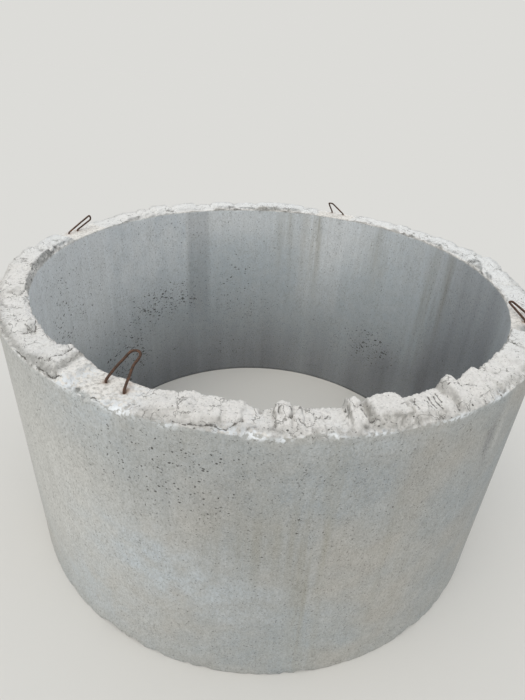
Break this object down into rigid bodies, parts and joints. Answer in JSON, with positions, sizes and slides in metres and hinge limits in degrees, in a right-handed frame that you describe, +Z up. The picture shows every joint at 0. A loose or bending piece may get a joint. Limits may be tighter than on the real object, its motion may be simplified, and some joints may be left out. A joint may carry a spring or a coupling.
{
  "type": "concrete well ring",
  "caption": "Precast concrete well ring with a plain bore, a rough cast crown and bent steel lifting loops cast into the wall.",
  "frame": {"origin": "on the ring's axis at its lower face", "axes": "+Z up along the bore's axis, -Y towards the side seen first"},
  "size_m": [1.68, 1.68, 0.9433],
  "materials": {
    "concrete": "matte",
    "rusty_steel": "matte"
  },
  "bodies": {
    "root": {"concrete_ring": "concrete", "lifting_loop_front_left": "rusty_steel", "lifting_loop_back_left": "rusty_steel", "lifting_loop_back_right": "rusty_steel", "lifting_loop_right": "rusty_steel"}
  },
  "joints": []
}
